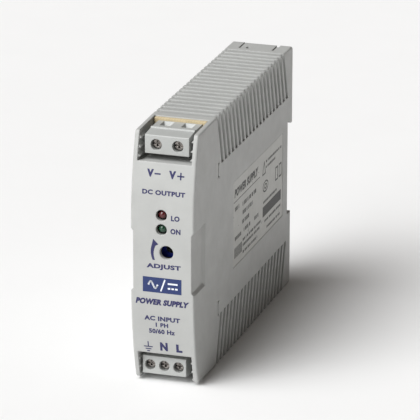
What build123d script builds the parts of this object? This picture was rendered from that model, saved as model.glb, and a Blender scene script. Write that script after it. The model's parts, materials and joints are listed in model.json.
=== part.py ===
from build123d import *
import os

os.makedirs("parts", exist_ok=True)

# A slim 10 W power supply for a 35 mm top-hat rail. X runs across its width, Y from its front
# panel to the rail behind it, and Z up. The origin is the middle of its base. All sizes are mm.

# ---------------------------------------------------------------- driving dimensions
WIDTH = 22.5
HEIGHT = 90.0
DEPTH = 116.3                  # over the upper back, which carries the rail hook
LOW_DEPTH = 114.8              # over the lower back
SIDE_WALL = 1.65
PLATE = 1.6                    # ribbed top and bottom walls
PANEL = 1.8                    # front panel
EDGE_RADIUS = 0.6

# Front profile: flat in the middle, curving back towards the top and the bottom.
FLAT_LOW, FLAT_HIGH = 34.0, 56.5
TOP_CORNER = (5.1, 89.6)       # depth behind the front plane, height
LOW_CORNER = (4.9, 0.9)
PLATE_FRONT = 21.45             # where the top and bottom walls begin

# Cooling ribs: grooves that wrap over the top and the bottom and lean back down the sides.
GROOVES = 20
GROOVE_PITCH = 4.07
GROOVE_WIDTH = 2.35
GROOVE_DEEP, SIDE_GROOVE_DEEP = 1.1, 1.2
GROOVE_LENGTH = 17.8           # down each side
GROOVE_LEAN = 0.29             # depth gained per mm of height
TOP_GROOVE = 26.65             # depth of the first groove at the top edge
LOW_GROOVE = 25.75             # and at the bottom edge

# C-shaped slits around the springy tongues in the sides.
SNAP_LOW, SNAP_HIGH, SNAP_TALL = 17.6, 67.8, 5.4
SNAP_FRONT, SNAP_LONG, SNAP_SLIT = 26.9, 1.3, 0.55

# Finger recess half-way up the front of each side.
FINGER_LOW, FINGER_HIGH, FINGER_BACK = 33.9, 56.6, 12.6
FINGER_DEEP, FINGER_SLOPE = 0.9, 50

# Bed for the rating label, on the right side, and the label in it.
BED_FRONT, BED_BACK, BED_LOW, BED_HIGH, BED_DEEP = 44.5, 104.3, 29.1, 60.5, 0.2
LABEL_GAP, LABEL_THICK = 0.1, 0.15

# Terminal recesses at the front corners, each with a sloping sill.
SILL = 1.4
SILL_TOP_FRONT, SILL_TOP_BACK = 79.75, 75.5
SILL_EDGE, SILL_EDGE_HIGH, SILL_STEP, SILL_STEP_HIGH = 12.0, 79.2, 12.4, 77.2
SILL_LOW_FRONT, SILL_LOW_BACK = 10.95, 14.6
BOARD_FRONT = 19.7             # front board, which closes both recesses
BOARD = 1.6
BOARD_MARGIN = 0.35            # from the case's top and bottom to the front board
MIRROR_Z = 45.4                # the input terminal is the output one turned over about this height

# Rail slot for a 35 mm rail, with a fixed hook above and a sprung latch below.
SEAT = 110.3                   # depth of the face that rests on the rail
SLOT_LOW, SLOT_HIGH = 27.7, 61.4
HOOK_ROOT = 63.1               # height of the hook's root, where the rail's edge rests
# Underside of the hook, from its rounded lip over a ramp to its root.
HOOK = ((DEPTH, 62.2), (DEPTH - 0.25, 61.65), (DEPTH - 0.8, SLOT_HIGH), (114.4, SLOT_HIGH),
        (113.6, 61.7), (112.0, 62.7), (SEAT, HOOK_ROOT))
TONGUE_LEFT, TONGUE_RIGHT = -6.4, 6.0
TONGUE_FRONT, TONGUE_BACK = 108.0, 114.6
TONGUE_SLOT = 0.6
LATCH_HALF = 5.0
LATCH_FRONT, LATCH_BACK = 112.2, 114.3
LATCH_REACH = 1.5              # how far the nose stands above the slot's lower face
SPRING_LOW, SPRING_HIGH = 9.3, 20.0

# Terminals: screws face the front, wires enter from above or below.
FACE = 5.0                     # depth of the terminal's front face
SCREW_Z = 85.0
OUTPUT = {"centre": 0.1, "pitch": 7.62, "hole": 1.98, "head": 1.8, "shank": 1.45, "cage": 5.4,
          "wall": 0.9, "mouth": 3.8, "foot": 77.3}
INPUT = {"centre": -0.97, "pitch": 5.08, "hole": 1.88, "head": 1.7, "shank": 1.2, "cage": 3.6,
         "wall": 0.5, "mouth": 2.9, "foot": 78.3}
OUTPUT_POLES = ("minus", "plus")
INPUT_POLES = ("earth", "neutral", "line")
CAGE_FRONT = 12.7              # depth of the open cage's front
CAGE_DEEP = 5.9
CAGE_LOW, CAGE_HIGH = 82.6, 87.0
CAGE_NUT = 1.2
CAGE_TRAVEL = 2.0
BAR_FRONT, BAR_BACK = 14.2, 15.0
BLOCK_BACK = 19.6              # depth of the terminal's rear
FUNNEL_FRONT, FUNNEL_BACK, FUNNEL_HIGH = 14.3, 19.2, 89.0
THROAT_DEPTH, THROAT = 16.5, 2.4

# Front panel features.
LAMP_X, LAMP_LOW_Z, LAMP_ON_Z = -0.3, 61.8, 56.8
LAMP_HOLE = 1.95
TRIM_X, TRIM_Z = 1.5, 48.75
TRIM_HOLE = 2.45
TRIM_FACE = 5.6                # depth of the adjuster's face
TRIM_SQUARE, TRIM_THICK = 6.8, 4.6
TRIM_WELL = 1.9                # radius of the well that its rotor turns in

# Main board, upright along the left side, with its parts standing to the right.
MAIN_X = -6.4                  # its component face
MAIN_FRONT, MAIN_BACK = 25.2, 107.0
MAIN_LOW, MAIN_HIGH = 3.2, 86.8
CHIP_PITCH = 2.54

HALF = WIDTH / 2
INNER = HALF - SIDE_WALL
FRONT = -DEPTH / 2
AXES = {"X": (1, 0, 0), "Y": (0, 1, 0), "Z": (0, 0, 1)}


# ---------------------------------------------------------------- helpers
def at(depth):
    """Y of a point that lies this far behind the front plane."""
    return FRONT + depth


def points(*pairs):
    """Outline points in the YZ plane from (depth, height) pairs."""
    return [(at(depth), height) for depth, height in pairs]


def save(part, name):
    part.label = name
    export_step(part, f"parts/{name}.step")


def block(x0, x1, d0, d1, z0, z1, mode=Mode.ADD):
    """Box between limits: x across, d behind the front plane, z up."""
    with Locations(((x0 + x1) / 2, at((d0 + d1) / 2), (z0 + z1) / 2)):
        Box(x1 - x0, d1 - d0, z1 - z0, mode=mode)


def rod(axis, x, d, z, radius, length, mode=Mode.ADD):
    """Cylinder that starts at (x, d, z) and runs along X, Y or Z."""
    with BuildSketch(Plane(origin=(x, at(d), z), z_dir=AXES[axis])) as section:
        Circle(radius)
    extrude(section.sketch, amount=length, mode=mode)


def prism(x0, x1, *pairs, mode=Mode.ADD):
    """Outline in the YZ plane, extruded across from x0 to x1."""
    with BuildSketch(Plane.YZ.offset(x0)) as profile:
        with BuildLine():
            Polyline(*points(*pairs), close=True)
        make_face()
    extrude(profile.sketch, amount=x1 - x0, mode=mode)


def side_outline():
    """The case seen from the side: its front is a flat between two long arcs."""
    top_front, low_front = points(TOP_CORNER, LOW_CORNER)
    flat_low, flat_high = points((0, FLAT_LOW), (0, FLAT_HIGH))
    middle = (SLOT_LOW + SLOT_HIGH) / 2
    rest = points((PLATE_FRONT, HEIGHT), (DEPTH, HEIGHT), (DEPTH, middle), (LOW_DEPTH, middle),
                  (LOW_DEPTH, 0), (PLATE_FRONT, 0))
    with BuildSketch(Plane.YZ.offset(-HALF)) as outline:
        with BuildLine():
            Line(flat_low, flat_high)
            TangentArc(flat_high, top_front, tangent=(0, 1))
            Polyline(top_front, *rest, low_front)
            TangentArc(flat_low, low_front, tangent=(0, -1))
        make_face()
    return outline.sketch


def front_chamber():
    """Room behind the panel, between the two sills."""
    flat_low, flat_high = points((PANEL, FLAT_LOW), (PANEL, FLAT_HIGH))
    low = (at(PANEL + 2.2), SILL_LOW_FRONT + SILL)
    high = (at(PANEL + 3.0), SILL_TOP_FRONT - SILL - 0.4)
    backs = points((BOARD_FRONT, SILL_TOP_BACK - SILL), (BOARD_FRONT, SILL_LOW_BACK + SILL))
    with BuildSketch(Plane.YZ.offset(-INNER)) as chamber:
        with BuildLine():
            Line(flat_low, flat_high)
            TangentArc(flat_high, high, tangent=(0, 1))
            Polyline(high, *backs, low)
            TangentArc(flat_low, low, tangent=(0, -1))
        make_face()
    return chamber.sketch


def cut_grooves():
    """Straight grooves over the top and bottom, leaning ones down the sides."""
    for start, edge, way in ((TOP_GROOVE, HEIGHT, -1), (LOW_GROOVE, 0, 1)):
        middle = start + GROOVE_PITCH * (GROOVES - 1) / 2
        with BuildSketch(Plane.XY.offset(edge)) as across:
            with Locations((0, at(middle))):
                with GridLocations(0, GROOVE_PITCH, 1, GROOVES):
                    Rectangle(WIDTH + 2, GROOVE_WIDTH)
        extrude(across.sketch, amount=way * GROOVE_DEEP, mode=Mode.SUBTRACT)
        lean = GROOVE_LEAN * GROOVE_LENGTH
        end = edge + way * GROOVE_LENGTH
        for side in (-1, 1):
            with BuildSketch(Plane.YZ.offset(side * HALF)) as down:
                for number in range(GROOVES):
                    a = start + number * GROOVE_PITCH - GROOVE_WIDTH / 2
                    b = a + GROOVE_WIDTH
                    with BuildLine():
                        Polyline(*points((a, edge), (b, edge), (b + lean, end), (a + lean, end)), close=True)
                    make_face()
            extrude(down.sketch, amount=-side * SIDE_GROOVE_DEEP, mode=Mode.SUBTRACT)


def side_recess(side):
    """Shallow finger recess with sloping edges, half-way up the front of a side."""
    beyond = 8                 # how far the cut starts in front of the panel
    with BuildSketch(Plane.YZ.offset(side * HALF)) as opening:
        with Locations((at((FINGER_BACK - beyond) / 2), (FINGER_LOW + FINGER_HIGH) / 2)):
            Rectangle(FINGER_BACK + beyond, FINGER_HIGH - FINGER_LOW)
    extrude(opening.sketch, amount=-side * FINGER_DEEP, taper=FINGER_SLOPE, mode=Mode.SUBTRACT)


def cut_snap_outline(side, low):
    """C-shaped slit around a springy tongue that locks the case onto its boards."""
    x0, x1 = sorted((side * (INNER - 1), side * (HALF + 1)))
    block(x0, x1, SNAP_FRONT, SNAP_FRONT + SNAP_SLIT, low, low + SNAP_TALL, mode=Mode.SUBTRACT)
    for z in (low, low + SNAP_TALL - SNAP_SLIT):
        block(x0, x1, SNAP_FRONT, SNAP_FRONT + SNAP_LONG, z, z + SNAP_SLIT, mode=Mode.SUBTRACT)


def add_teeth(size, places):
    """Short ridges on the inside of both cheeks of a recess, at (height, depth of the front end)."""
    long = 4.4
    for height, start in places:
        for side in (-1, 1):
            with BuildSketch(Plane.XZ.offset(-at(start))) as tooth:
                with BuildLine():
                    root = side * (INNER + 0.2)
                    tip = (side * (INNER - size), height - size)
                    Polyline((root, height + size * 0.3), tip, (root, height - size * 1.4), close=True)
                make_face()
            extrude(tooth.sketch, amount=-long)


# ---------------------------------------------------------------- case
with BuildPart() as housing:
    extrude(side_outline(), amount=WIDTH)
    corners = housing.edges().filter_by(Axis.X)
    fillet(corners.filter_by(lambda e: e.center().Z > HEIGHT - 1 and e.center().Y < at(10)), 1.2)
    corners = housing.edges().filter_by(Axis.X)
    fillet(corners.filter_by(lambda e: e.center().Z < 1.5 and e.center().Y < at(10)), 1.2)
    corners = housing.edges().filter_by(Axis.X).filter_by(lambda e: e.center().Y > at(LOW_DEPTH - 1))
    fillet(corners.filter_by(lambda e: abs(e.center().Z - HEIGHT / 2) > HEIGHT / 2 - 1), 1.5)
    rims = housing.faces().filter_by(Axis.X).edges()
    fillet(rims, EDGE_RADIUS)
    # Open inside, from behind the front board to the back.
    block(-INNER, INNER, BOARD_FRONT - 0.1, DEPTH + 1, PLATE, HEIGHT - PLATE, mode=Mode.SUBTRACT)
    extrude(front_chamber(), amount=2 * INNER, mode=Mode.SUBTRACT)
    # Terminal recesses, open to the front and above or below.
    prism(-INNER, INNER, (-1, SILL_TOP_FRONT + 0.1), (SILL_EDGE, SILL_EDGE_HIGH),
          (SILL_STEP, SILL_STEP_HIGH), (BOARD_FRONT, SILL_TOP_BACK), (PLATE_FRONT, SILL_TOP_BACK),
          (PLATE_FRONT, HEIGHT + 1), (-1, HEIGHT + 1), mode=Mode.SUBTRACT)
    prism(-INNER, INNER, (-1, SILL_LOW_FRONT - 0.4), (BOARD_FRONT, SILL_LOW_BACK),
          (PLATE_FRONT, SILL_LOW_BACK), (PLATE_FRONT, -1), (-1, -1), mode=Mode.SUBTRACT)
    cut_grooves()
    for side in (-1, 1):
        side_recess(side)
        cut_snap_outline(side, SNAP_HIGH)
        cut_snap_outline(side, SNAP_LOW)
    add_teeth(0.9, ((87.9, 4.8), (84.8, 3.9), (81.9, 3.2)))
    add_teeth(0.65, ((9.0, 3.2), (5.8, 3.8), (2.7, 4.8)))
    # Lamp and adjuster holes in the panel.
    rod("Y", LAMP_X, -1, LAMP_LOW_Z, LAMP_HOLE, 5, mode=Mode.SUBTRACT)
    rod("Y", LAMP_X, -1, LAMP_ON_Z, LAMP_HOLE, 5, mode=Mode.SUBTRACT)
    rod("Y", TRIM_X, -1, TRIM_Z, TRIM_HOLE, 5, mode=Mode.SUBTRACT)
    # Rail slot, undercut at the top where the hook takes the rail's edge.
    prism(-HALF - 1, HALF + 1, (SEAT, SLOT_LOW), (DEPTH + 1, SLOT_LOW), (DEPTH + 1, HOOK[0][1]), *HOOK,
          mode=Mode.SUBTRACT)
    # Springy tongue at the back of the top wall, between two slots, with a small locating hole.
    low, high = HEIGHT - 3, HEIGHT + 1
    for x in (TONGUE_LEFT, TONGUE_RIGHT):
        block(x - TONGUE_SLOT / 2, x + TONGUE_SLOT / 2, TONGUE_FRONT, DEPTH + 1, low, high,
              mode=Mode.SUBTRACT)
    block(TONGUE_LEFT, TONGUE_RIGHT, TONGUE_BACK, DEPTH + 1, low, high, mode=Mode.SUBTRACT)
    block(TONGUE_RIGHT, TONGUE_RIGHT + 0.9, 112.4, DEPTH + 1, low, high, mode=Mode.SUBTRACT)
    with BuildSketch(Plane.XY.offset(low)) as hole:
        with Locations((-3.5, at(109.0))):
            SlotOverall(2.0, 1.2, rotation=90)
    extrude(hole.sketch, amount=4, mode=Mode.SUBTRACT)
    # Opening in the bottom wall for the latch's pull.
    block(-LATCH_HALF - 0.7, LATCH_HALF + 0.7, 110.6, DEPTH + 1, -1, PLATE + 0.5, mode=Mode.SUBTRACT)
    # Shallow bed for the rating label on the right side.
    block(HALF - BED_DEEP, HALF + 1, BED_FRONT, BED_BACK, BED_LOW, BED_HIGH, mode=Mode.SUBTRACT)
    # Guides that hold the main board's top and bottom edges.
    for x in (MAIN_X + 0.1, MAIN_X - BOARD - 1.1):
        block(x, x + 1, 27, 106, HEIGHT - PLATE - 2.5, HEIGHT - PLATE)
        block(x, x + 1, 27, 106, PLATE, PLATE + 2.5)
save(housing.part, "housing")

with BuildPart() as rear_cover:
    fit, back, low_back, wall = 0.1, DEPTH - 0.4, LOW_DEPTH - 0.4, 1.8
    wide = INNER - fit
    high, low = HEIGHT - PLATE - fit, PLATE + fit
    # One folded wall: upper back, hook, slot floor, lower shelf and lower back.
    prism(-wide, wide, (back - wall, high), (back, high), (back, HOOK[1][1]), *HOOK[2:],
          (SEAT, SLOT_LOW), (low_back, SLOT_LOW), (low_back, low), (LATCH_FRONT - 2.0, low),
          (LATCH_FRONT - 2.0, SLOT_LOW - wall), (SEAT - wall, SLOT_LOW - wall),
          (SEAT - wall, HOOK_ROOT + wall), (back - wall, HOOK_ROOT + wall))
    # Flange that snaps under the tongue of the top wall.
    block(-5.4, 5.4, back - 6, back - wall, high - 1.4, high)
    # Channel that the latch slides in, open below and at the slot, with a lip over each edge.
    gap = 0.3
    block(-LATCH_HALF - gap, LATCH_HALF + gap, LATCH_FRONT - gap, LATCH_BACK - 0.6, -1, SLOT_LOW + 1,
          mode=Mode.SUBTRACT)
    block(-LATCH_HALF + 0.9, LATCH_HALF - 0.9, LATCH_FRONT - gap, DEPTH, -1, SLOT_LOW + 1,
          mode=Mode.SUBTRACT)
    # Fixed seat under the latch spring.
    block(-2.2, 2.2, LATCH_FRONT - 1, LATCH_BACK - 0.8, SPRING_LOW - 2, SPRING_LOW)
    # Vent slots in the upper back.
    with BuildSketch(Plane.XZ.offset(-at(back - 4))):
        with Locations((0, 76)):
            with GridLocations(0, 3.2, 1, 4):
                SlotOverall(12, 1.2)
    extrude(amount=-5, mode=Mode.SUBTRACT)
save(rear_cover.part, "rear_cover")

with BuildPart() as rating_label:
    with BuildSketch(Plane.YZ.offset(HALF - BED_DEEP)):
        with Locations((at((BED_FRONT + BED_BACK) / 2), (BED_LOW + BED_HIGH) / 2)):
            RectangleRounded(BED_BACK - BED_FRONT - 2 * LABEL_GAP, BED_HIGH - BED_LOW - 2 * LABEL_GAP, 0.6)
    extrude(amount=LABEL_THICK)
save(rating_label.part, "rating_label")

# ---------------------------------------------------------------- rail latch
with BuildPart() as din_latch:
    front, back = LATCH_FRONT, LATCH_BACK - 0.9
    block(-LATCH_HALF, LATCH_HALF, front, back, 2.2, SLOT_LOW + LATCH_REACH)
    # Raised middle that fills the gap between the channel's lips.
    block(-LATCH_HALF + 1.3, LATCH_HALF - 1.3, front, LATCH_BACK + 0.2, 0.6, SLOT_LOW + LATCH_REACH)
    # Nose: its back slopes, so that a rail pushed in from behind forces it down.
    nose = SLOT_LOW + LATCH_REACH
    prism(-LATCH_HALF - 1, LATCH_HALF + 1, (front + 0.7, nose + 0.1), (LATCH_BACK + 1, nose + 0.1),
          (LATCH_BACK + 1, nose - 2.6), mode=Mode.SUBTRACT)
    # Window for the spring, and the slot where a screwdriver pulls the latch down.
    block(-2.6, 2.6, front - 1, LATCH_BACK + 1, 4.0, SPRING_HIGH, mode=Mode.SUBTRACT)
    block(-2.0, 2.0, front - 1, LATCH_BACK + 1, 1.4, 2.8, mode=Mode.SUBTRACT)
save(din_latch.part, "din_latch")

with BuildPart() as latch_spring:
    turns, wire, radius = 7, 0.22, 0.75
    tall = SPRING_HIGH - SPRING_LOW - 0.3 - 2 * wire
    bottom = (0, at((LATCH_FRONT + LATCH_BACK) / 2 - 0.2), SPRING_LOW + 0.15 + wire)
    with BuildLine() as coil:
        Helix(pitch=tall / turns, height=tall, radius=radius, center=bottom)
    start = coil.edges()[0]
    with BuildSketch(Plane(origin=start @ 0, z_dir=start % 0)):
        Circle(wire)
    sweep(path=start)
save(latch_spring.part, "latch_spring")

# ---------------------------------------------------------------- boards
with BuildPart() as front_board:
    block(-INNER + 0.4, INNER - 0.4, BOARD_FRONT, BOARD_FRONT + BOARD, BOARD_MARGIN, HEIGHT - BOARD_MARGIN)
save(front_board.part, "front_board")

with BuildPart() as main_board:
    block(MAIN_X - BOARD, MAIN_X, MAIN_FRONT, MAIN_BACK, MAIN_LOW, MAIN_HIGH)
    # Notch at the back, round the rail slot's floor.
    block(MAIN_X - BOARD - 1, MAIN_X + 1, 104, MAIN_BACK + 1, 24, 68, mode=Mode.SUBTRACT)
save(main_board.part, "main_board")

with BuildPart() as board_header:
    # Two rows of angled pins that join the two boards.
    body = BOARD_FRONT + BOARD + 0.2
    for first, count in ((20.0, 4), (64.0, 3)):
        block(MAIN_X + 0.05, MAIN_X + 2.55, body, body + 2.5, first - 1.27, first + 2.54 * count - 1.27)
        for number in range(count):
            z = first + 2.54 * number
            block(MAIN_X + 1.0, MAIN_X + 1.6, BOARD_FRONT - 0.8, 28.5, z - 0.3, z + 0.3)
            block(MAIN_X - BOARD - 0.8, MAIN_X + 1.6, 27.9, 28.5, z - 0.3, z + 0.3)
save(board_header.part, "board_header")


# ---------------------------------------------------------------- terminals
def pole_positions(kind, poles):
    first = kind["centre"] - kind["pitch"] * (len(poles) - 1) / 2
    return [first + kind["pitch"] * number for number in range(len(poles))]


def terminal_body(kind, poles):
    """Moulded block: a screw hole to the front, a wire funnel above and a cage room for each pole."""
    half = kind["pitch"] * len(poles) / 2 + 0.18
    room = kind["cage"] / 2 + 0.3
    centre = kind["centre"]
    with BuildPart() as body:
        # Its top rises gently to a small raised lip and is level behind it.
        prism(centre - half, centre + half, (FACE, 81.8), (FACE, 88.3), (11.1, 88.8), (11.3, 89.25),
              (11.9, 89.25), (12.4, 88.9), (BLOCK_BACK, 88.9), (BLOCK_BACK, kind["foot"]),
              (14.0, kind["foot"]), (12.4, 81.8))
        top = body.edges().filter_by(Axis.X).filter_by(lambda e: e.center().Z > 88)
        fillet(top.sort_by(Axis.Y)[0:1], 0.35)
        for x in pole_positions(kind, poles):
            rod("Y", x, FACE - 1, SCREW_Z, kind["hole"], 4.8, mode=Mode.SUBTRACT)
            rod("Y", x, FACE, SCREW_Z, kind["shank"] + 0.2, 9, mode=Mode.SUBTRACT)
            # Room for the cage to slide in, and the narrow slot below it for the contact's tail.
            block(x - room, x + room, CAGE_FRONT - CAGE_TRAVEL - 0.4, CAGE_FRONT + CAGE_DEEP + 0.3,
                  CAGE_LOW - 0.3, CAGE_HIGH + 0.1, mode=Mode.SUBTRACT)
            block(x - room + 0.6, x + room - 0.6, BAR_FRONT, BLOCK_BACK + 1, 79.6, CAGE_LOW,
                  mode=Mode.SUBTRACT)
            # Funnel that leads a wire into the cage.
            with BuildSketch(Plane.XY.offset(FUNNEL_HIGH)):
                with Locations((x, at((FUNNEL_FRONT + FUNNEL_BACK) / 2))):
                    Rectangle(kind["mouth"], FUNNEL_BACK - FUNNEL_FRONT)
            with BuildSketch(Plane.XY.offset(CAGE_HIGH)):
                with Locations((x, at(THROAT_DEPTH))):
                    Rectangle(kind["mouth"] - 1.2, THROAT)
            loft(mode=Mode.SUBTRACT)
    return body.part


def terminal_contacts(kind, poles):
    """Fixed bars, one through each cage, with a tail that is soldered into the front board."""
    with BuildPart() as contacts:
        half = kind["cage"] / 2 - kind["wall"] - 0.3
        for x in pole_positions(kind, poles):
            block(x - half, x + half, BAR_FRONT, BAR_BACK, 79.7, 86.6)
            block(x - 0.5, x + 0.5, BAR_BACK - 0.1, BOARD_FRONT + BOARD + 1.0, 79.7, 80.7)
    return contacts.part


def terminal_screw(kind, x):
    """Combination-slot clamp screw, held in the body and threaded through the cage."""
    with BuildPart() as screw:
        rod("Y", x, FACE + 1.5, SCREW_Z, kind["head"], 2.2)
        chamfer(screw.edges().sort_by(Axis.Y)[0], 0.25)
        rod("Y", x, FACE + 3.7, SCREW_Z, kind["shank"], 4.9)
        chamfer(screw.edges().sort_by(Axis.Y)[-1], 0.3)
        block(x - kind["head"], x + kind["head"], FACE + 1, FACE + 2.5, SCREW_Z - 0.35, SCREW_Z + 0.35,
              mode=Mode.SUBTRACT)
        arm = kind["head"] * 0.62
        block(x - 0.3, x + 0.3, FACE + 1, FACE + 2.7, SCREW_Z - arm, SCREW_Z + arm, mode=Mode.SUBTRACT)
    return screw.part


def terminal_cage(kind, x):
    """Square tube that the screw pulls forward, clamping a wire against the contact bar."""
    half, wall, back = kind["cage"] / 2, kind["wall"], CAGE_FRONT + CAGE_DEEP
    with BuildPart() as cage:
        block(x - half, x + half, CAGE_FRONT, back, CAGE_LOW, CAGE_HIGH)
        fillet(cage.edges().filter_by(Axis.Z), 0.4)
        block(x - half + wall, x + half - wall, CAGE_FRONT + CAGE_NUT, back - wall,
              CAGE_LOW - 1, CAGE_HIGH + 1, mode=Mode.SUBTRACT)
        rod("Y", x, CAGE_FRONT - 1, SCREW_Z, kind["shank"] + 0.05, CAGE_NUT + 1.2, mode=Mode.SUBTRACT)
    return cage.part


def turned_over(part):
    """The input terminal's parts are made upright and mirrored to the bottom of the case."""
    return part.mirror(Plane.XY.offset(MIRROR_Z))


save(terminal_body(OUTPUT, OUTPUT_POLES), "output_terminal_body")
save(terminal_contacts(OUTPUT, OUTPUT_POLES), "output_contacts")
for pole, x in zip(OUTPUT_POLES, pole_positions(OUTPUT, OUTPUT_POLES)):
    save(terminal_screw(OUTPUT, x), f"output_screw_{pole}")
    save(terminal_cage(OUTPUT, x), f"output_cage_{pole}")
save(turned_over(terminal_body(INPUT, INPUT_POLES)), "input_terminal_body")
save(turned_over(terminal_contacts(INPUT, INPUT_POLES)), "input_contacts")
for pole, x in zip(INPUT_POLES, pole_positions(INPUT, INPUT_POLES)):
    save(turned_over(terminal_screw(INPUT, x)), f"input_screw_{pole}")
    save(turned_over(terminal_cage(INPUT, x)), f"input_cage_{pole}")


# ---------------------------------------------------------------- lamps and adjuster
def lamp(z):
    """3 mm lamp: domed lens with a rim, and two legs back to the front board."""
    with BuildPart() as led:
        with BuildSketch(Plane.YZ.offset(LAMP_X)):
            with BuildLine():
                Polyline(*points((1.9, z + 1.5), (5.6, z + 1.5), (5.6, z + 1.9), (6.6, z + 1.9), (6.6, z),
                                 (0.4, z)))
                RadiusArc(*points((0.4, z), (1.9, z + 1.5)), 1.5)
            make_face()
        revolve(axis=Axis((LAMP_X, 0, z), (0, 1, 0)))
        for x in (LAMP_X - 1.27, LAMP_X + 1.27):
            block(x - 0.25, x + 0.25, 6.5, BOARD_FRONT + BOARD + 1, z - 0.25, z + 0.25)
    return led.part


save(lamp(LAMP_LOW_Z), "lamp_low")
save(lamp(LAMP_ON_Z), "lamp_on")

with BuildPart() as lamp_spacers:
    for z in (LAMP_LOW_Z, LAMP_ON_Z):
        rod("Y", LAMP_X, 6.7, z, 2.2, BOARD_FRONT - 6.7)
        for x in (LAMP_X - 1.27, LAMP_X + 1.27):
            block(x - 0.35, x + 0.35, 6, BOARD_FRONT + 1, z - 0.35, z + 0.35, mode=Mode.SUBTRACT)
save(lamp_spacers.part, "lamp_spacers")

with BuildPart() as trimmer_body:
    # Square body with a round well for the rotor, and three long legs back to the front board.
    half = TRIM_SQUARE / 2
    block(TRIM_X - half, TRIM_X + half, TRIM_FACE, TRIM_FACE + TRIM_THICK, TRIM_Z - half, TRIM_Z + half)
    fillet(trimmer_body.edges().filter_by(Axis.Y), 0.5)
    rod("Y", TRIM_X, TRIM_FACE - 1, TRIM_Z, TRIM_WELL, 3.4, mode=Mode.SUBTRACT)
    for x, z in ((-2.5, -2.6), (2.5, -2.6), (0, 2.6)):
        leg = 0.3
        block(TRIM_X + x - leg, TRIM_X + x + leg, TRIM_FACE + TRIM_THICK - 0.5, BOARD_FRONT + BOARD + 1,
              TRIM_Z + z - leg, TRIM_Z + z + leg)
save(trimmer_body.part, "trimmer_body")

with BuildPart() as trimmer_rotor:
    # Slotted rotor, turned with a small screwdriver through the panel's hole.
    rotor = TRIM_WELL - 0.05
    rod("Y", TRIM_X, TRIM_FACE - 0.2, TRIM_Z, rotor, 2.4)
    chamfer(trimmer_rotor.edges().sort_by(Axis.Y)[0], 0.2)
    for across, up in ((rotor * 0.8, 0.3), (0.3, rotor * 0.8)):
        block(TRIM_X - across, TRIM_X + across, TRIM_FACE - 1, TRIM_FACE + 0.8, TRIM_Z - up, TRIM_Z + up,
              mode=Mode.SUBTRACT)
save(trimmer_rotor.part, "trimmer_rotor")


# ---------------------------------------------------------------- parts on the main board
def pin(d, z, size=0.6, stand=0.6):
    """Lead through the main board, from a part that stands this far off it."""
    half = size / 2
    block(MAIN_X - BOARD - 1, MAIN_X + stand, d - half, d + half, z - half, z + half)


def radial_capacitor(d, z, radius, tall, pitch):
    """Upright can capacitor with a crimped neck, a sunken top and two leads."""
    foot, top = MAIN_X + 0.6, MAIN_X + 0.6 + tall
    with BuildPart() as can:
        rod("X", foot, d, z, radius, tall)
        fillet(can.edges().filter_by(GeomType.CIRCLE), radius * 0.1)
        with BuildSketch(Plane.XY):
            with Locations((foot + 2.2, at(d) + radius)):
                Circle(0.4)
        revolve(axis=Axis((0, at(d), 0), (1, 0, 0)), mode=Mode.SUBTRACT)
        rod("X", top - 0.3, d, z, radius * 0.8, 1, mode=Mode.SUBTRACT)
        for shift in (-pitch / 2, pitch / 2):
            pin(d + shift, z)
    return can.part


def disc(d, z, radius, thick, pitch):
    """Coated disc part that stands on its edge, with two leads."""
    with BuildPart() as body:
        rod("Z", MAIN_X + 1.2 + radius, d, z - thick / 2, radius, thick)
        fillet(body.edges().filter_by(GeomType.CIRCLE), thick * 0.35)
        for shift in (-pitch / 2, pitch / 2):
            pin(d + shift, z, stand=1.2 + radius)
    return body.part


def package(d0, d1, z0, z1, tall, pins, stand=0.5):
    """Moulded package with rows of pins at the given places."""
    with BuildPart() as body:
        block(MAIN_X + stand, MAIN_X + tall, d0, d1, z0, z1)
        chamfer(body.faces().sort_by(Axis.X)[-1].edges(), 0.3)
        for d, z in pins:
            pin(d, z, size=0.5, stand=stand + 0.3)
    return body.part


def chip(first, count, z):
    """Dual-row package: its pins leave both sides half-way up and turn down through the board."""
    half, row = 3.2, 3.6
    with BuildPart() as body:
        last = first + CHIP_PITCH * (count - 1)
        block(MAIN_X + 0.5, MAIN_X + 3.6, first - 1.2, last + 1.2, z - half, z + half)
        chamfer(body.faces().sort_by(Axis.X)[-1].edges(), 0.3)
        for number in range(count):
            d = first + CHIP_PITCH * number
            block(MAIN_X + 1.8, MAIN_X + 2.1, d - 0.6, d + 0.6, z - row - 0.25, z + row + 0.25)
            pin(d, z - row, size=0.5, stand=2.1)
            pin(d, z + row, size=0.5, stand=2.1)
    return body.part


save(radial_capacitor(d=95, z=14, radius=6.25, tall=15.0, pitch=5.0), "mains_capacitor")
save(radial_capacitor(d=36, z=76, radius=4.0, tall=12.5, pitch=3.5), "output_capacitor_front")
save(radial_capacitor(d=46, z=76, radius=4.0, tall=12.5, pitch=3.5), "output_capacitor_back")
save(disc(d=33, z=9.5, radius=4.5, thick=4.0, pitch=5.0), "varistor")
save(disc(d=33, z=33.0, radius=4.5, thick=4.0, pitch=5.0), "inrush_thermistor")
save(disc(d=74, z=29, radius=3.8, thick=3.6, pitch=6.0), "isolation_capacitor")
SUPPRESSION_PINS = ((54.5, 8.5), (64.5, 8.5))
save(package(d0=53, d1=66, z0=5.5, z1=11.5, tall=12.0, pins=SUPPRESSION_PINS), "suppression_capacitor")
BRIDGE_PINS = ((69, 9), (69, 14), (75.5, 9), (75.5, 14))
save(package(d0=68, d1=76.5, z0=8, z1=15, tall=3.6, pins=BRIDGE_PINS), "bridge_rectifier")
save(chip(first=83.2, count=4, z=33.2), "control_chip")
save(chip(first=53.0, count=2, z=27.2), "optocoupler")

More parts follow.
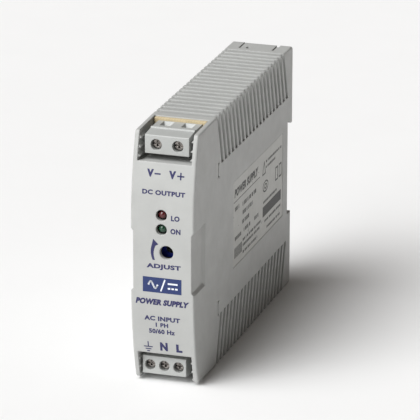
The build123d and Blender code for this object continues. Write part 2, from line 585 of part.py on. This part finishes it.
with BuildPart() as fuse:
    # Glass tube between two metal caps.
    rod("Y", MAIN_X + 3.2, 36, 24, 2.5, 3.5)
    rod("Y", MAIN_X + 3.2, 39.5, 24, 2.3, 8)
    rod("Y", MAIN_X + 3.2, 47.5, 24, 2.5, 3.5)
    pin(37.5, 24, stand=2.0)
    pin(49.5, 24, stand=2.0)
save(fuse.part, "fuse")

CHOKE_D, CHOKE_Z, CHOKE_OUT, CHOKE_IN = 45.5, 15.3, 5.0, 2.6
with BuildPart() as line_choke_core:
    with BuildSketch(Plane.YZ.offset(MAIN_X + 1.9)):
        with Locations((at(CHOKE_D), CHOKE_Z)):
            Circle(CHOKE_OUT)
            Circle(CHOKE_IN, mode=Mode.SUBTRACT)
    extrude(amount=5.0)
    fillet(line_choke_core.edges().filter_by(GeomType.CIRCLE), 0.6)
save(line_choke_core.part, "line_choke_core")

with BuildPart() as line_choke_windings:
    # Two windings, each a row of wire turns round one side of the ring.
    wire, turns, step = 0.34, 7, 17
    for side in (0, 180):
        for turn in range(turns):
            angle = side + (turn - (turns - 1) / 2) * step
            spoke = Plane.YZ.offset(MAIN_X + 4.4).location * Pos(at(CHOKE_D), CHOKE_Z) * Rot(0, 0, angle)
            with BuildSketch(Plane(spoke * Rot(90, 0, 0))) as loop:
                with Locations(((CHOKE_OUT + CHOKE_IN) / 2, 0)):
                    RectangleRounded(CHOKE_OUT - CHOKE_IN + 4 * wire, 5.0 + 4 * wire, 0.9)
                    RectangleRounded(CHOKE_OUT - CHOKE_IN + 0.1, 5.1, 0.3, mode=Mode.SUBTRACT)
            extrude(loop.sketch, amount=wire, both=True)
save(line_choke_windings.part, "line_choke_windings")

with BuildPart() as transformer_core:
    # Two E halves, which meet in the middle of the winding window.
    x0, x1 = MAIN_X + 4.2, MAIN_X + 9.2
    for d0, d1 in ((54.0, 64.0), (64.02, 74.0)):
        block(x0, x1, d0, d1, 40.0, 44.2)
        block(x0, x1, d0, d1, 47.9, 52.1)
        block(x0, x1, d0, d1, 55.8, 60.0)
    block(x0, x1, 54.0, 58.0, 40.0, 60.0)
    block(x0, x1, 70.0, 74.0, 40.0, 60.0)
save(transformer_core.part, "transformer_core")

with BuildPart() as transformer_bobbin:
    x0, x1 = MAIN_X + 1.0, MAIN_X + 12.4
    for d0 in (58.2, 69.0):
        block(x0, x1, d0, d0 + 0.8, 44.4, 55.6)
    block(MAIN_X + 3.4, MAIN_X + 10.0, 58.2, 69.8, 47.1, 52.9)
    block(MAIN_X + 4.1, MAIN_X + 9.3, 50, 80, 47.8, 52.2, mode=Mode.SUBTRACT)
    for d in (56.9, 69.7):
        block(MAIN_X + 0.4, MAIN_X + 3.4, d, d + 1.4, 42.0, 58.0)
        for z in (43.5, 47.5, 52.5, 56.5):
            pin(d + 0.7, z, stand=1.0)
save(transformer_bobbin.part, "transformer_bobbin")

with BuildPart() as transformer_winding:
    block(MAIN_X + 1.5, MAIN_X + 11.9, 59.1, 68.9, 45.2, 54.8)
    fillet(transformer_winding.edges().filter_by(Axis.Y), 1.6)
    block(MAIN_X + 3.3, MAIN_X + 10.1, 50, 80, 47.0, 53.0, mode=Mode.SUBTRACT)
save(transformer_winding.part, "transformer_winding")

with BuildPart() as heatsink:
    block(MAIN_X + 0.6, MAIN_X + 14.6, 79.0, 80.4, 40.0, 62.0)
    block(MAIN_X + 13.2, MAIN_X + 14.6, 80.4, 88.0, 40.0, 62.0)
    rod("Y", MAIN_X + 9.5, 78, 57.0, 1.6, 4, mode=Mode.SUBTRACT)
    for z in (41.5, 60.5):
        pin(79.7, z, size=1.2, stand=1.0)
save(heatsink.part, "heatsink")

with BuildPart() as power_transistor:
    # Metal tab against the heatsink, moulded body below its hole, and three leads.
    block(MAIN_X + 5.0, MAIN_X + 12.4, 80.42, 81.6, 51.9, 62.0)
    rod("Y", MAIN_X + 9.5, 80, 57.0, 1.7, 3, mode=Mode.SUBTRACT)
    block(MAIN_X + 2.4, MAIN_X + 5.6, 80.42, 84.6, 51.9, 62.0)
    for z in (54.4, 57.0, 59.6):
        pin(83.0, z, size=0.7, stand=2.6)
save(power_transistor.part, "power_transistor")

with BuildPart() as heatsink_screw:
    rod("Y", MAIN_X + 9.5, 77.2, 57.0, 1.45, 7.2)
    rod("Y", MAIN_X + 9.5, 81.62, 57.0, 2.7, 2.0)
    block(MAIN_X + 7.7, MAIN_X + 11.3, 83.0, 84.7, 56.6, 57.4, mode=Mode.SUBTRACT)
save(heatsink_screw.part, "heatsink_screw")

with BuildPart() as output_inductor:
    rod("X", MAIN_X + 0.6, 58, 76, 4.5, 1.2)
    rod("X", MAIN_X + 1.8, 58, 76, 4.0, 7.0)
    rod("X", MAIN_X + 8.8, 58, 76, 4.5, 1.2)
    pin(55.5, 76)
    pin(60.5, 76)
save(output_inductor.part, "output_inductor")

with BuildPart() as output_diode:
    rod("Z", MAIN_X + 3.0, 68, 66, 2.4, 9.0)
    for z in (64.5, 76.2):
        rod("X", MAIN_X - BOARD - 1, 68, z, 0.55, BOARD + 1 + 3.0)
    rod("Z", MAIN_X + 3.0, 68, 64.5, 0.55, 11.7)
save(output_diode.part, "output_diode")

with BuildPart() as voltage_reference:
    # Half-round three-legged package.
    rod("X", MAIN_X + 2.2, 40, 62, 2.4, 4.8)
    block(MAIN_X + 2, MAIN_X + 8, 41.3, 44, 58, 66, mode=Mode.SUBTRACT)
    for z in (60.73, 62.0, 63.27):
        pin(40, z, size=0.45, stand=2.4)
save(voltage_reference.part, "voltage_reference")

with BuildPart() as resistors:
    # Axial resistors lying flat, with bent leads.
    for d, z in ((84, 70), (88, 70), (92, 70), (96, 70), (62, 33), (66, 33)):
        rod("Z", MAIN_X + 1.4, d, z, 1.1, 6.4)
        rod("Z", MAIN_X + 1.4, d, z - 2, 0.3, 10.4)
        for end in (z - 2, z + 8.4):
            rod("X", MAIN_X - BOARD - 1, d, end, 0.3, BOARD + 1 + 1.4)
save(resistors.part, "resistors")
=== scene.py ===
import json
import math
import random

import bmesh
import bpy
from mathutils import Matrix, Vector
from mathutils.bvhtree import BVHTree


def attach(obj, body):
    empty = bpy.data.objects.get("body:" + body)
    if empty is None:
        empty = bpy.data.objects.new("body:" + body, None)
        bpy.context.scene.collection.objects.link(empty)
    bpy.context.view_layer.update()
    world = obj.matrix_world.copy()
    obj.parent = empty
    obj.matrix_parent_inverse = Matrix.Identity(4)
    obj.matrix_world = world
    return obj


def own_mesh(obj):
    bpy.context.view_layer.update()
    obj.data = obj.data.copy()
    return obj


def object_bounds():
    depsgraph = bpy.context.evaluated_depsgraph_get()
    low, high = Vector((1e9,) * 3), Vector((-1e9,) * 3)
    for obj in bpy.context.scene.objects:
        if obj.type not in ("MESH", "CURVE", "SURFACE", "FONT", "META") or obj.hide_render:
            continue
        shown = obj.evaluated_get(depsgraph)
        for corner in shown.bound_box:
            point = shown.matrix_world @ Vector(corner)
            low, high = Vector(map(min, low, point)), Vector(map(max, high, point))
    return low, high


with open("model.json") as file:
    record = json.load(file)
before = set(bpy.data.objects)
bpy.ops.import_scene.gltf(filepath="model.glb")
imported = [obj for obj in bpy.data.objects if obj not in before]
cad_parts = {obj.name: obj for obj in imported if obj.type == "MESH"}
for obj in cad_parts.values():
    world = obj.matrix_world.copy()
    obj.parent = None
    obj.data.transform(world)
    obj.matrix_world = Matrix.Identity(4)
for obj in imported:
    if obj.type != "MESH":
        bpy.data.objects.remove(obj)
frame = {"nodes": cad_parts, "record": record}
CAD_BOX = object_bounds()
NODES = frame["nodes"]
LOW, HIGH = CAD_BOX
MM = 0.001                 # lengths below are in mm where they are multiplied by this
FRONT = LOW.y


# ---------------------------------------------------------------- shader helpers
class Shader:
    """One procedural material: a Principled shader and short calls that add nodes to it."""

    def __init__(self, name, **sockets):
        self.mat = bpy.data.materials.new(name)
        self.mat.use_nodes = True
        self.tree = self.mat.node_tree
        self.out = self.tree.nodes["Principled BSDF"]
        for socket, value in sockets.items():
            self.out.inputs[socket.replace("_", " ")].default_value = value

    def node(self, kind, inputs=(), **settings):
        made = self.tree.nodes.new(kind)
        for key, value in settings.items():
            setattr(made, key, value)
        for socket, value in dict(inputs).items():
            target = made.inputs[socket]
            if isinstance(value, bpy.types.NodeSocket):
                self.tree.links.new(value, target)
            else:
                target.default_value = value
        return made

    def link(self, source, socket):
        self.tree.links.new(source, self.out.inputs[socket])

    def place(self, stretch=(1, 1, 1)):
        """Object coordinates in metres, stretched along an axis for a grain that runs one way."""
        coords = self.node("ShaderNodeTexCoord").outputs["Object"]
        if tuple(stretch) == (1, 1, 1):
            return coords
        return self.node("ShaderNodeMapping", {"Vector": coords, "Scale": stretch}).outputs[0]

    def noise(self, size_mm, detail=3.0, rough=0.55, stretch=(1, 1, 1)):
        """Cloudy value between 0 and 1 whose features measure about size_mm."""
        inputs = {"Vector": self.place(stretch), "Scale": 1 / (size_mm * MM), "Detail": detail,
                  "Roughness": rough}
        return self.node("ShaderNodeTexNoise", inputs).outputs["Fac"]

    def remap(self, value, low, high, start=0.0, end=1.0):
        inputs = {"Value": value, "From Min": start, "From Max": end, "To Min": low, "To Max": high}
        return self.node("ShaderNodeMapRange", inputs, clamp=True).outputs[0]

    def math(self, operation, *values):
        return self.node("ShaderNodeMath", dict(enumerate(values)), operation=operation).outputs[0]

    def mix(self, factor, a, b, blend="MIX"):
        made = self.node("ShaderNodeMix", data_type="RGBA", blend_type=blend)
        for index, value in ((0, factor), (6, a), (7, b)):
            if isinstance(value, bpy.types.NodeSocket):
                self.tree.links.new(value, made.inputs[index])
            else:
                made.inputs[index].default_value = value
        return made.outputs[2]

    def edges(self, radius_mm=0.35):
        """1 along the sharp edges of the solid, 0 on its flats."""
        rounded = self.node("ShaderNodeBevel", {"Radius": radius_mm * MM}, samples=4)
        round_normal = rounded.outputs[0]
        flat_normal = self.node("ShaderNodeNewGeometry").outputs["Normal"]
        dot = self.node("ShaderNodeVectorMath", {0: round_normal, 1: flat_normal},
                        operation="DOT_PRODUCT")
        sharp, flat = 0.75, 0.995      # how far the two normals agree
        return self.remap(dot.outputs["Value"], 1.0, 0.0, sharp, flat)

    def bump(self, *layers, soft_mm=0.2):
        """Stacks (height, strength, depth in mm) layers on a normal that rounds the sharp edges."""
        normal = self.node("ShaderNodeBevel", {"Radius": soft_mm * MM}, samples=6).outputs[0]
        for height, strength, depth in layers:
            inputs = {"Height": height, "Strength": strength, "Distance": depth * MM,
                      "Normal": normal}
            normal = self.node("ShaderNodeBump", inputs).outputs[0]
        self.link(normal, "Normal")


def rgb(red, green, blue):
    """Linear colour from 0 to 255 display values, by the sRGB curve."""
    def linear(value):
        return ((value / 255 + 0.055) / 1.055) ** 2.4 if value > 10 else value / 255 / 12.92
    return linear(red), linear(green), linear(blue), 1


def scaled(colour, factor):
    return tuple(min(1.0, c * factor) for c in colour[:3]) + (1,)


def moulded(name, colour, rough, tone=0.05, grain_mm=0.16, grain=0.25, edge_highlight=0.25,
            soft_mm=0.2, **sockets):
    """Moulded plastic: eroded grain, faint flow clouds, painted highlights in patches along the
    sharp edges, hair scratches.
    """
    s = Shader(name, **sockets)
    flow_mm, speck_mm, highlight_patch_mm, gloss_mm, scratch_mm = 11.0, 0.5, 2.2, 3.0, 0.25
    dirt, highlight_gain, gloss_range = 0.7, 1.35, 0.07
    cloud = s.remap(s.noise(flow_mm, 4.0), 0, 1, 0.3, 0.7)
    base = s.mix(cloud, scaled(colour, 1 - tone), scaled(colour, 1 + tone))
    speck = s.remap(s.noise(speck_mm, 2.0), 0, 0.06, 0.35, 0.75)
    base = s.mix(speck, base, scaled(colour, dirt))
    # Painted highlight: the sharp edges are lightened in patches, standing in for light that
    # catches them.
    highlight_patches = s.remap(s.noise(highlight_patch_mm, 4.0), 0.15, 1, 0.35, 0.65)
    painted_highlight = s.math("MULTIPLY", s.edges(), highlight_patches)
    base = s.mix(s.math("MULTIPLY", painted_highlight, edge_highlight), base, scaled(colour, highlight_gain))
    s.link(base, "Base Color")
    gloss = s.remap(s.noise(gloss_mm, 5.0), rough - gloss_range, rough + gloss_range, 0.3, 0.7)
    s.link(gloss, "Roughness")
    fine = s.noise(grain_mm, 2.0, 0.6)
    scratch = s.noise(scratch_mm, 2.0, stretch=(1, 0.04, 1))
    s.bump((fine, grain, 0.02), (scratch, 0.05, 0.01), soft_mm=soft_mm)
    return s.mat


def metal(name, colour, rough, brush=(1, 1, 0.05), grain=0.12, grain_mm=0.08, tarnish=0.2):
    """Plated or drawn metal: directional brush lines, cloudy tarnish, painted glints along the
    sharp edges.
    """
    s = Shader(name, Metallic=1.0)
    cloud_mm, gloss_mm, edge_mm = 1.8, 0.6, 0.15
    dull, bright, edge_share = 0.45, 1.25, 0.5
    cloud = s.remap(s.noise(cloud_mm, 5.0), 0, 1, 0.35, 0.7)
    base = s.mix(s.math("MULTIPLY", cloud, tarnish), colour, scaled(colour, dull))
    # Painted highlight: the sharp edges are lightened as glints.
    edge_glint = s.math("MULTIPLY", s.edges(edge_mm), edge_share)
    base = s.mix(edge_glint, base, scaled(colour, bright))
    s.link(base, "Base Color")
    s.link(s.remap(s.noise(gloss_mm, 4.0), rough - 0.08, rough + 0.14, 0.3, 0.7), "Roughness")
    s.bump((s.noise(grain_mm, 2.0, stretch=brush), grain, grain_mm / 6))
    return s.mat


def laminate(name, colour, weave_mm, rough, tone=0.12):
    """Glass-cloth laminate: crossed threads under resin, with blotches."""
    s = Shader(name, Roughness=rough)
    blotch_mm, resin_mm, stain = 6.0, 0.3, 0.75
    bands_per_scale = 6.3      # so many threads a wave texture draws per unit of its scale
    wave = {"Vector": s.place(), "Scale": 1 / (weave_mm * MM) / bands_per_scale,
            "Distortion": 0.6, "Detail": 1.0}
    x, y, z = (s.node("ShaderNodeTexWave", wave, bands_direction=axis).outputs["Fac"]
               for axis in ("X", "Y", "Z"))
    cloth = s.math("MULTIPLY", s.math("ADD", x, y), s.math("ADD", z, 0.5))
    threads = s.remap(cloth, 0, 0.5, 0.2, 2.0)
    base = s.mix(threads, scaled(colour, 1 - tone), scaled(colour, 1 + tone))
    blotch = s.remap(s.noise(blotch_mm, 4.0), 0, 0.25, 0.4, 0.7)
    base = s.mix(blotch, base, scaled(colour, stain))
    s.link(base, "Base Color")
    s.bump((cloth, 0.25, 0.02), (s.noise(resin_mm), 0.1, 0.01))
    return s.mat


def ink(name, colour, rough=0.42):
    """Screen-printed ink: thin spots, a faint screen pattern and uneven gloss."""
    s = Shader(name)
    thin_mm, gloss_mm, screen_mm = 0.35, 0.8, 0.12
    thin = s.remap(s.noise(thin_mm, 4.0), 0, 0.35, 0.55, 0.8)
    s.link(s.mix(thin, scaled(colour, 0.94), scaled(colour, 1.5)), "Base Color")
    s.link(s.remap(s.noise(gloss_mm, 3.0), rough - 0.08, rough + 0.1), "Roughness")
    s.bump((s.noise(screen_mm, 2.0), 0.2, 0.01))
    return s.mat


# case_plastic and label_film set their own share of painted highlight along the sharp edges.
MATERIALS = {
    "case_plastic": moulded("case_plastic", rgb(178, 179, 177), 0.46, edge_highlight=0.3, soft_mm=0.6),
    "terminal_plastic": moulded("terminal_plastic", rgb(176, 178, 176), 0.38, soft_mm=0.35),
    "latch_plastic": moulded("latch_plastic", rgb(70, 72, 74), 0.5),
    "label_film": moulded("label_film", rgb(179, 179, 174), 0.34, tone=0.03, grain_mm=0.6,
                          grain=0.08, edge_highlight=0.1),
    "spring_steel": metal("spring_steel", rgb(190, 190, 192), 0.25, brush=(1, 1, 1)),
    "screw_steel": metal("screw_steel", rgb(150, 145, 141), 0.2, brush=(1, 1, 1), grain=0.6,
                         grain_mm=0.3, tarnish=0.75),
    "cage_steel": metal("cage_steel", rgb(196, 194, 188), 0.32),
    "contact_copper": metal("contact_copper", rgb(214, 208, 190), 0.28),
    "board_laminate": laminate("board_laminate", rgb(216, 198, 160), 0.5, 0.5),
    "board_green": laminate("board_green", rgb(40, 98, 60), 0.5, 0.3),
    "header_black": moulded("header_black", rgb(34, 34, 34), 0.45),
    "spacer_black": moulded("spacer_black", rgb(38, 38, 38), 0.5),
    "trimmer_blue": moulded("trimmer_blue", rgb(40, 58, 168), 0.3, Coat_Weight=0.4),
    # The rotor is near-black: painted shade for the dark inside the adjuster hole.
    "rotor_black": moulded("rotor_black", rgb(26, 26, 30), 0.4),
    "can_sleeve": moulded("can_sleeve", rgb(44, 48, 70), 0.32),
    "disc_blue": moulded("disc_blue", rgb(50, 90, 170), 0.35),
    "disc_black": moulded("disc_black", rgb(46, 50, 46), 0.6),
    "box_yellow": moulded("box_yellow", rgb(222, 184, 66), 0.35),
    "chip_black": moulded("chip_black", rgb(34, 34, 35), 0.6),
    "fuse_glass": moulded("fuse_glass", rgb(210, 216, 212), 0.12),
    "ferrite": moulded("ferrite", rgb(62, 62, 64), 0.65),
    "copper_wire": metal("copper_wire", rgb(206, 120, 66), 0.3),
    "bobbin_plastic": moulded("bobbin_plastic", rgb(40, 40, 42), 0.5),
    "winding_tape": moulded("winding_tape", rgb(232, 198, 60), 0.3),
    "heatsink_aluminium": metal("heatsink_aluminium", rgb(206, 208, 212), 0.35),
    "resistor_body": moulded("resistor_body", rgb(204, 186, 146), 0.5),
    "lamp_red": moulded("lamp_red", rgb(78, 12, 16), 0.1, grain=0.05, Coat_Weight=0.6),
    "lamp_green": moulded("lamp_green", rgb(12, 62, 38), 0.1, grain=0.05, Coat_Weight=0.6),
}
SLOT_OF = {row["node"]: row["material_slot"] for row in frame["record"]["subparts"]}
for node, obj in NODES.items():
    obj.data.materials.clear()
    obj.data.materials.append(MATERIALS[SLOT_OF[node]])


# ---------------------------------------------------------------- print
class Surface:
    """Outer face of a node. Marks on it are drawn in mm: u along its width, v up from the base."""

    def __init__(self, node, across, outward):
        mesh, place = NODES[node].data, NODES[node].matrix_world
        self.tree = BVHTree.FromPolygons([place @ v.co for v in mesh.vertices],
                                         [tuple(f.vertices) for f in mesh.polygons])
        self.across, self.outward = Vector(across), Vector(outward)

    def lay(self, u, v, lift_mm):
        """The point of the surface under (u, v), lifted off it by a film of ink."""
        clear = 0.2                # metres, well outside the object
        start = Vector((0, FRONT, v * MM)) + self.across * u * MM + self.outward * clear
        hit = self.tree.ray_cast(start, -self.outward)[0]
        return hit + self.outward * (lift_mm * MM)


class Print:
    """Marks in one colour of ink, gathered into one mesh."""

    def __init__(self, name, surface, look, lift_mm=0.01):
        self.name, self.surface, self.look, self.lift_mm = name, surface, look, lift_mm
        self.points, self.faces = [], []

    def polygon(self, outline):
        first = len(self.points)
        self.points += outline
        self.faces.append(tuple(range(first, len(self.points))))

    def bar(self, u0, u1, v0, v1):
        self.polygon([(u0, v0), (u1, v0), (u1, v1), (u0, v1)])

    def stroke(self, path, width):
        """Line through the points of a path; each piece runs on by a quarter of its width."""
        for (u0, v0), (u1, v1) in zip(path, path[1:]):
            along = Vector((u1 - u0, v1 - v0)).normalized() * width / 2
            du, dv = -along.y, along.x
            eu, ev = along.x / 2, along.y / 2
            self.polygon([(u0 - du - eu, v0 - dv - ev), (u1 - du + eu, v1 - dv + ev),
                          (u1 + du + eu, v1 + dv + ev), (u0 + du - eu, v0 + dv - ev)])

    def ring(self, u, v, radius, width, flatten):
        sides = 24
        steps = [math.tau * k / sides for k in range(sides + 1)]
        self.stroke([(u + radius * flatten * math.cos(a), v + radius * math.sin(a))
                     for a in steps], width)

    def text(self, words, u0, u1, v0, v1, bold, slant):
        """Words in the built-in typeface, fitted to a box."""
        curve = bpy.data.curves.new(self.name + "_text", "FONT")
        curve.body, curve.offset, curve.shear = words, bold, slant
        curve.resolution_u, curve.space_character = 3, 1.08
        maker = bpy.data.objects.new(self.name + "_text", curve)
        mesh = bpy.data.meshes.new_from_object(maker)
        us, vs = [p.co.x for p in mesh.vertices], [p.co.y for p in mesh.vertices]
        wide, tall = max(us) - min(us), max(vs) - min(vs)
        first = len(self.points)
        self.points += [(u0 + (u - min(us)) / wide * (u1 - u0),
                         v0 + (v - min(vs)) / tall * (v1 - v0)) for u, v in zip(us, vs)]
        self.faces += [tuple(first + k for k in f.vertices) for f in mesh.polygons]
        bpy.data.objects.remove(maker)
        bpy.data.meshes.remove(mesh)
        bpy.data.curves.remove(curve)

    def words(self, u0, u1, v, tall, rng):
        """A row of small print, as broken dashes in place of lettering."""
        shortest, longest, gap, word_gap, leftover = 0.6, 1.5, 0.35, 0.9, 0.4
        u = u0
        while u < u1 - leftover:
            long = min(rng.uniform(shortest, longest), u1 - u)
            self.bar(u, u + long, v - tall / 2, v + tall / 2)
            u += long + rng.choice((gap, gap, word_gap))

    def finish(self):
        """Cuts the marks into low bands, so that they follow a curved surface, and lays them."""
        band = 0.5                 # mm high
        mesh = bpy.data.meshes.new(self.name)
        mesh.from_pydata([(u, v, 0) for u, v in self.points], [], self.faces)
        cut = bmesh.new()
        cut.from_mesh(mesh)
        for k in range(int(HIGH.z / MM / band)):
            bmesh.ops.bisect_plane(cut, geom=cut.verts[:] + cut.edges[:] + cut.faces[:], dist=1e-5,
                                   plane_co=(0, k * band, 0), plane_no=(0, 1, 0))
        for vertex in cut.verts:
            vertex.co = self.surface.lay(vertex.co.x, vertex.co.y, self.lift_mm)
        cut.to_mesh(mesh)
        cut.free()
        mesh.materials.append(self.look)
        obj = bpy.data.objects.new(self.name, mesh)
        bpy.context.scene.collection.objects.link(obj)
        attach(obj, "case")


NAVY = ink("ink_navy", rgb(42, 41, 90))
BLUE = ink("ink_blue", rgb(35, 52, 104))
WHITE = ink("ink_white", rgb(232, 236, 244))
GREY = ink("ink_grey", rgb(52, 52, 50), 0.5)
PANEL = Surface("housing", (1, 0, 0), (0, -1, 0))
LABEL = Surface("rating_label", (0, 1, 0), (1, 0, 0))

# Words on the panel: the box they fill (u from and to, v from and to), boldness and slant.
PANEL_WORDS = (
    ("V", -5.9, -3.5, 74.7, 77.35, 0.075, 0),
    ("V", 1.85, 4.35, 74.6, 77.35, 0.075, 0),
    ("DC OUTPUT", -7.3, 7.9, 68.75, 70.45, 0.05, 0),
    ("LO", 3.1, 6.15, 60.2, 62.1, 0.05, 0),
    ("ON", 2.9, 6.5, 55.6, 57.55, 0.05, 0),
    ("ADJUST", -5.6, 6.6, 42.4, 44.5, 0.05, 0),
    ("POWER SUPPLY", -9.6, 9.6, 29.6, 31.8, 0.07, 0.22),
    ("AC INPUT", -6.6, 6.2, 23.75, 25.5, 0.05, 0),
    ("1 PH", -2.6, 1.9, 21.5, 23.1, 0.05, 0),
    ("50/60 Hz", -5.1, 4.2, 18.95, 20.75, 0.05, 0),
    ("N", -1.4, 1.35, 12.5, 15.75, 0.065, 0),
    ("L", 4.35, 6.55, 12.5, 15.6, 0.065, 0))


def polarity_signs(pen, width=0.5):
    """The minus and the plus after the two Vs."""
    pen.stroke([(-3.1, 75.9), (-1.2, 75.9)], width)
    pen.stroke([(4.9, 75.75), (7.2, 75.75)], width)
    pen.stroke([(6.05, 74.65), (6.05, 76.9)], width)


def earth_sign(pen, u=-5.65, width=0.4):
    """A stem on three bars that get shorter downwards."""
    pen.stroke([(u, 13.6), (u, 15.5)], width)
    for half, v in ((1.5, 13.6), (0.95, 12.75), (0.4, 11.95)):
        pen.stroke([(u - half, v), (u + half, v)], width)


def adjust_wedge(pen, steps=10):
    """Curved wedge left of the adjuster that shows which way raises the voltage."""
    def bow(share):
        return math.sin(math.pi * share)
    outer = [(-3.05 - 1.05 * bow(0.12 + 0.76 * k / steps), 52.0 - 0.62 * k)
             for k in range(steps + 1)]
    inner = [(-2.1 - 0.95 * bow(0.1 + 0.75 * k / steps), 50.9 - 0.52 * k)
             for k in range(steps)]
    head, tail = [(-3.2, 53.3), (-1.35, 51.5)], [(-2.55, 45.8)]
    pen.polygon(head + inner + tail + outer[:0:-1])


def current_signs(pen, width=0.6, steps=16):
    """Alternating current, a slash, and direct current as a line over three dashes."""
    pen.stroke([(-4.9 + 0.2 * k, 36.9 + 1.15 * math.sin(math.tau * k / steps))
                for k in range(steps + 1)], width)
    pen.stroke([(-0.5, 34.9), (0.9, 38.9)], 0.5)
    pen.stroke([(2.1, 37.7), (5.3, 37.7)], width)
    for u in (2.1, 3.4, 4.7):
        pen.stroke([(u, 36.0), (u + 0.6, 36.0)], width)


legend = Print("panel_legend", PANEL, NAVY)
for row in PANEL_WORDS:
    legend.text(*row)
polarity_signs(legend)
earth_sign(legend)
adjust_wedge(legend)
legend.finish()

block = Print("panel_block", PANEL, BLUE)
block.bar(-6.95, 6.84, 34.15, 39.6)
block.finish()

signs = Print("panel_signs", PANEL, WHITE, lift_mm=0.02)
current_signs(signs)
signs.finish()

# ---------------------------------------------------------------- rating label's print
# Rows of small print: u from and to, v of the middle, height.
SMALL_PRINT = (
    (46.6, 52.2, 50.0, 1.5), (55.5, 72.2, 49.3, 1.5), (55.6, 67.5, 46.1, 1.5),
    (55.0, 64.3, 42.8, 1.5), (69.7, 75.1, 39.3, 1.4), (46.5, 54.4, 39.1, 1.4),
    (57.0, 65.0, 39.3, 1.4), (55.8, 77.9, 35.9, 1.0), (55.8, 75.9, 33.9, 1.0),
    (55.8, 73.2, 31.4, 1.0), (83.5, 102.6, 56.2, 0.9), (83.6, 95.0, 54.1, 0.9),
    (80.4, 97.0, 41.6, 0.9), (82.0, 102.1, 34.2, 0.9), (84.8, 101.0, 31.2, 0.9))


def label_shapes(pen, width=0.5):
    """Plain shapes in the places of the label's signs: bar, stripes, rings, triangle, frames."""
    pen.bar(79.8, 102.3, 36.2, 40.0)
    for k in range(7):
        pen.bar(46.1 + 1.3 * k, 46.9 + 1.3 * k, 32.0, 35.8)
    for radius in (1.9, 0.8):
        pen.ring(83.2, 47.2, radius, width, flatten=1.6)
    pen.stroke([(79.4, 52.2), (81.4, 56.8), (83.0, 52.2), (79.4, 52.2)], width)
    for u in (95.5, 100.0):
        pen.stroke([(u, 45.4), (u + 2.6, 45.4), (u + 2.6, 50.0), (u, 50.0), (u, 45.4)], 0.6)


rng = random.Random(7)
small = Print("label_print", LABEL, GREY)
small.text("POWER SUPPLY", 45.9, 74.2, 54.3, 57.4, 0.06, 0.22)
small.stroke([(45.2, 52.75), (76.0, 52.75)], 0.3)
for row in SMALL_PRINT:
    small.words(*row, rng)
label_shapes(small)
small.finish()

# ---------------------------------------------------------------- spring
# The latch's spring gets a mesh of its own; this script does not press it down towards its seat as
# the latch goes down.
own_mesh(NODES["latch_spring"])

# ---------------------------------------------------------------- studio
SPAN = 3.0                 # metres from the middle of the floor to its edge
FLOOR_GAP = 0.1 * MM       # keeps the floor clear of the base
floor_mesh = bpy.data.meshes.new("floor")
floor_mesh.from_pydata([(-SPAN, -SPAN, 0), (SPAN, -SPAN, 0), (SPAN, SPAN, 0), (-SPAN, SPAN, 0)],
                       [], [(0, 1, 2, 3)])
floor = bpy.data.objects.new("floor", floor_mesh)
floor.location.z = LOW.z - FLOOR_GAP
bpy.context.scene.collection.objects.link(floor)
paper = Shader("floor_paper", Roughness=0.9)
paper.link(paper.mix(paper.noise(30.0), (0.86, 0.86, 0.86, 1), (0.88, 0.88, 0.88, 1)), "Base Color")
floor_mesh.materials.append(paper.mat)

world = bpy.data.worlds.new("studio")
bpy.context.scene.world = world
world.use_nodes = True
background = world.node_tree.nodes["Background"]
background.inputs["Color"].default_value = (1, 0.94, 0.88, 1)
background.inputs["Strength"].default_value = 0.13


def towards(azimuth, elevation):
    """Direction in degrees: azimuth 0 is the front of the object, positive to its right."""
    a, e = math.radians(azimuth), math.radians(elevation)
    return Vector((math.sin(a) * math.cos(e), -math.cos(a) * math.cos(e), math.sin(e)))


def sun(name, azimuth, elevation, strength, angle, colour=(1, 1, 1)):
    """Soft light from a direction; angle is how wide the light is, so how soft its shadow."""
    lamp = bpy.data.lights.new(name, "SUN")
    lamp.energy, lamp.angle, lamp.color = strength, math.radians(angle), colour
    obj = bpy.data.objects.new(name, lamp)
    obj.rotation_mode = "QUATERNION"
    obj.rotation_quaternion = (-towards(azimuth, elevation)).to_track_quat("-Z", "Y")
    bpy.context.scene.collection.objects.link(obj)


sun("key", -42, 58, 2.5, 40)
sun("front", -30, 29, 1.8, 46, (0.985, 0.995, 1))
sun("fill", 112, 22, 0.03, 50, (1, 0.84, 0.72))

# ---------------------------------------------------------------- camera
# Angles in degrees, distance and shifts of the aim in metres, lens and film in mm.
AZIMUTH, ELEVATION, ROLL = 17.62, 18.83, 0.134
DISTANCE, SHIFT_RIGHT, SHIFT_UP = 1.3019, -0.001333, 0.000226
LENS, FILM = 317.7, 36
back = towards(AZIMUTH, ELEVATION)
right = Vector((math.cos(math.radians(AZIMUTH)), math.sin(math.radians(AZIMUTH)), 0))
up = back.cross(right)
camera = bpy.data.objects.new("camera", bpy.data.cameras.new("camera"))
camera.data.lens, camera.data.sensor_width = LENS, FILM
camera.data.clip_start, camera.data.clip_end = 0.1, 20
middle = Vector((0, FRONT + 57.5 * MM, 45 * MM))
target = middle + right * SHIFT_RIGHT + up * SHIFT_UP
camera.location = target + back * DISTANCE
camera.rotation_mode = "QUATERNION"
turn = Matrix((right, up, back)).transposed() @ Matrix.Rotation(math.radians(ROLL), 3, "Z")
camera.rotation_quaternion = turn.to_quaternion()
bpy.context.scene.collection.objects.link(camera)
bpy.context.scene.camera = camera
bpy.context.scene.view_settings.view_transform = "Standard"
